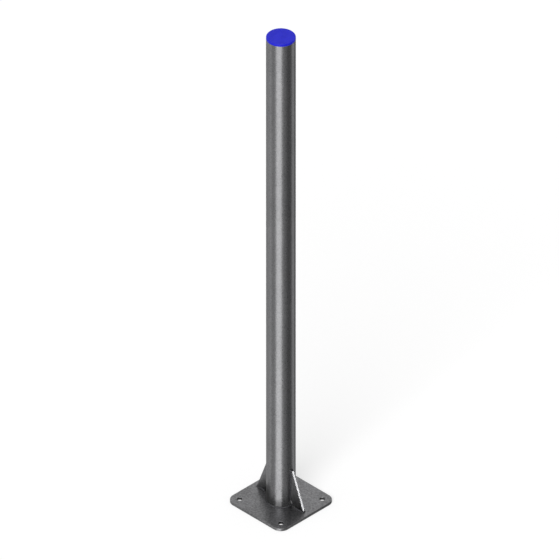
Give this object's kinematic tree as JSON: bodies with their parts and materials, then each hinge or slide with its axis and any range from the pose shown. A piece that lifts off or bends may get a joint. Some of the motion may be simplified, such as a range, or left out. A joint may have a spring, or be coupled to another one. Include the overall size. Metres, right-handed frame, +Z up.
{
  "type": "steel post with base plate",
  "caption": "Round steel post on a square base plate with rounded corners, stiffened by gussets, closed by a push-in plastic cap; anchors to a concrete floor.",
  "frame": {"origin": "on the ground under the middle of the base plate", "axes": "+Z up along the tube, +X along the line of the gussets, +Y across them"},
  "size_m": [0.2, 0.2, 1.454],
  "materials": {
    "grey_steel": "dull dark grey steel with a fine grain",
    "weld_metal": "rippled bead, darker and duller than the steel beside it",
    "blue_plastic": "satin moulded plastic"
  },
  "bodies": {
    "post": {"base_plate": "grey_steel", "post_tube": "grey_steel", "gusset_right": "grey_steel", "gusset_left": "grey_steel", "tube_foot_weld": "weld_metal", "gusset_right_foot_weld": "weld_metal", "gusset_left_foot_weld": "weld_metal", "gusset_right_web_weld": "weld_metal", "gusset_left_web_weld": "weld_metal"},
    "cap": {"end_cap": "blue_plastic"}
  },
  "joints": [
    {"name": "cap_pull", "type": "slide", "parent": "post", "child": "cap", "axis": [0, 0, 1], "range_m": [0, 0.04]}
  ]
}
